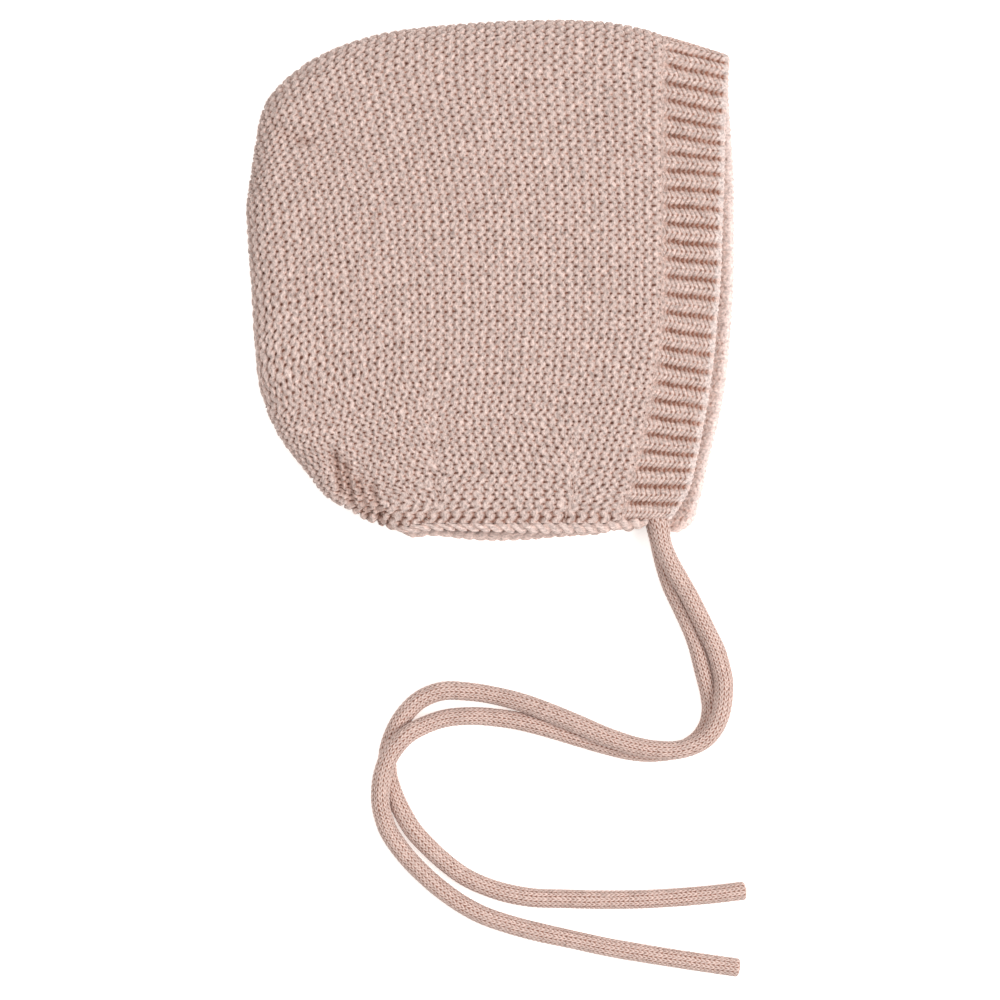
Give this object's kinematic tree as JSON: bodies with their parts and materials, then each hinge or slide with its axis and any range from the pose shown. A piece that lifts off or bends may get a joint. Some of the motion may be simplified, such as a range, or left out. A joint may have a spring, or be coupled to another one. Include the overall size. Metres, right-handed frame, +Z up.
{
  "type": "baby bonnet",
  "caption": "Knitted baby bonnet folded flat on its side, garter-stitch crown, ribbed face band, chain neck edging and two long tubular ties.",
  "frame": {"origin": "middle of the bonnet's footprint on the surface it lies on, the ties left out", "axes": "+X towards the face opening, +Y towards the top fold, +Z up from the surface it lies on"},
  "size_m": [0.1706, 0.3257, 0.018],
  "materials": {
    "garter_wool": "matte",
    "rib_wool": "matte",
    "edging_wool": "matte",
    "tie_wool": "matte"
  },
  "bodies": {
    "root": {"crown": "garter_wool", "front_band": "rib_wool", "neck_edge": "edging_wool", "tie_upper": "tie_wool", "tie_lower": "tie_wool"}
  },
  "joints": []
}
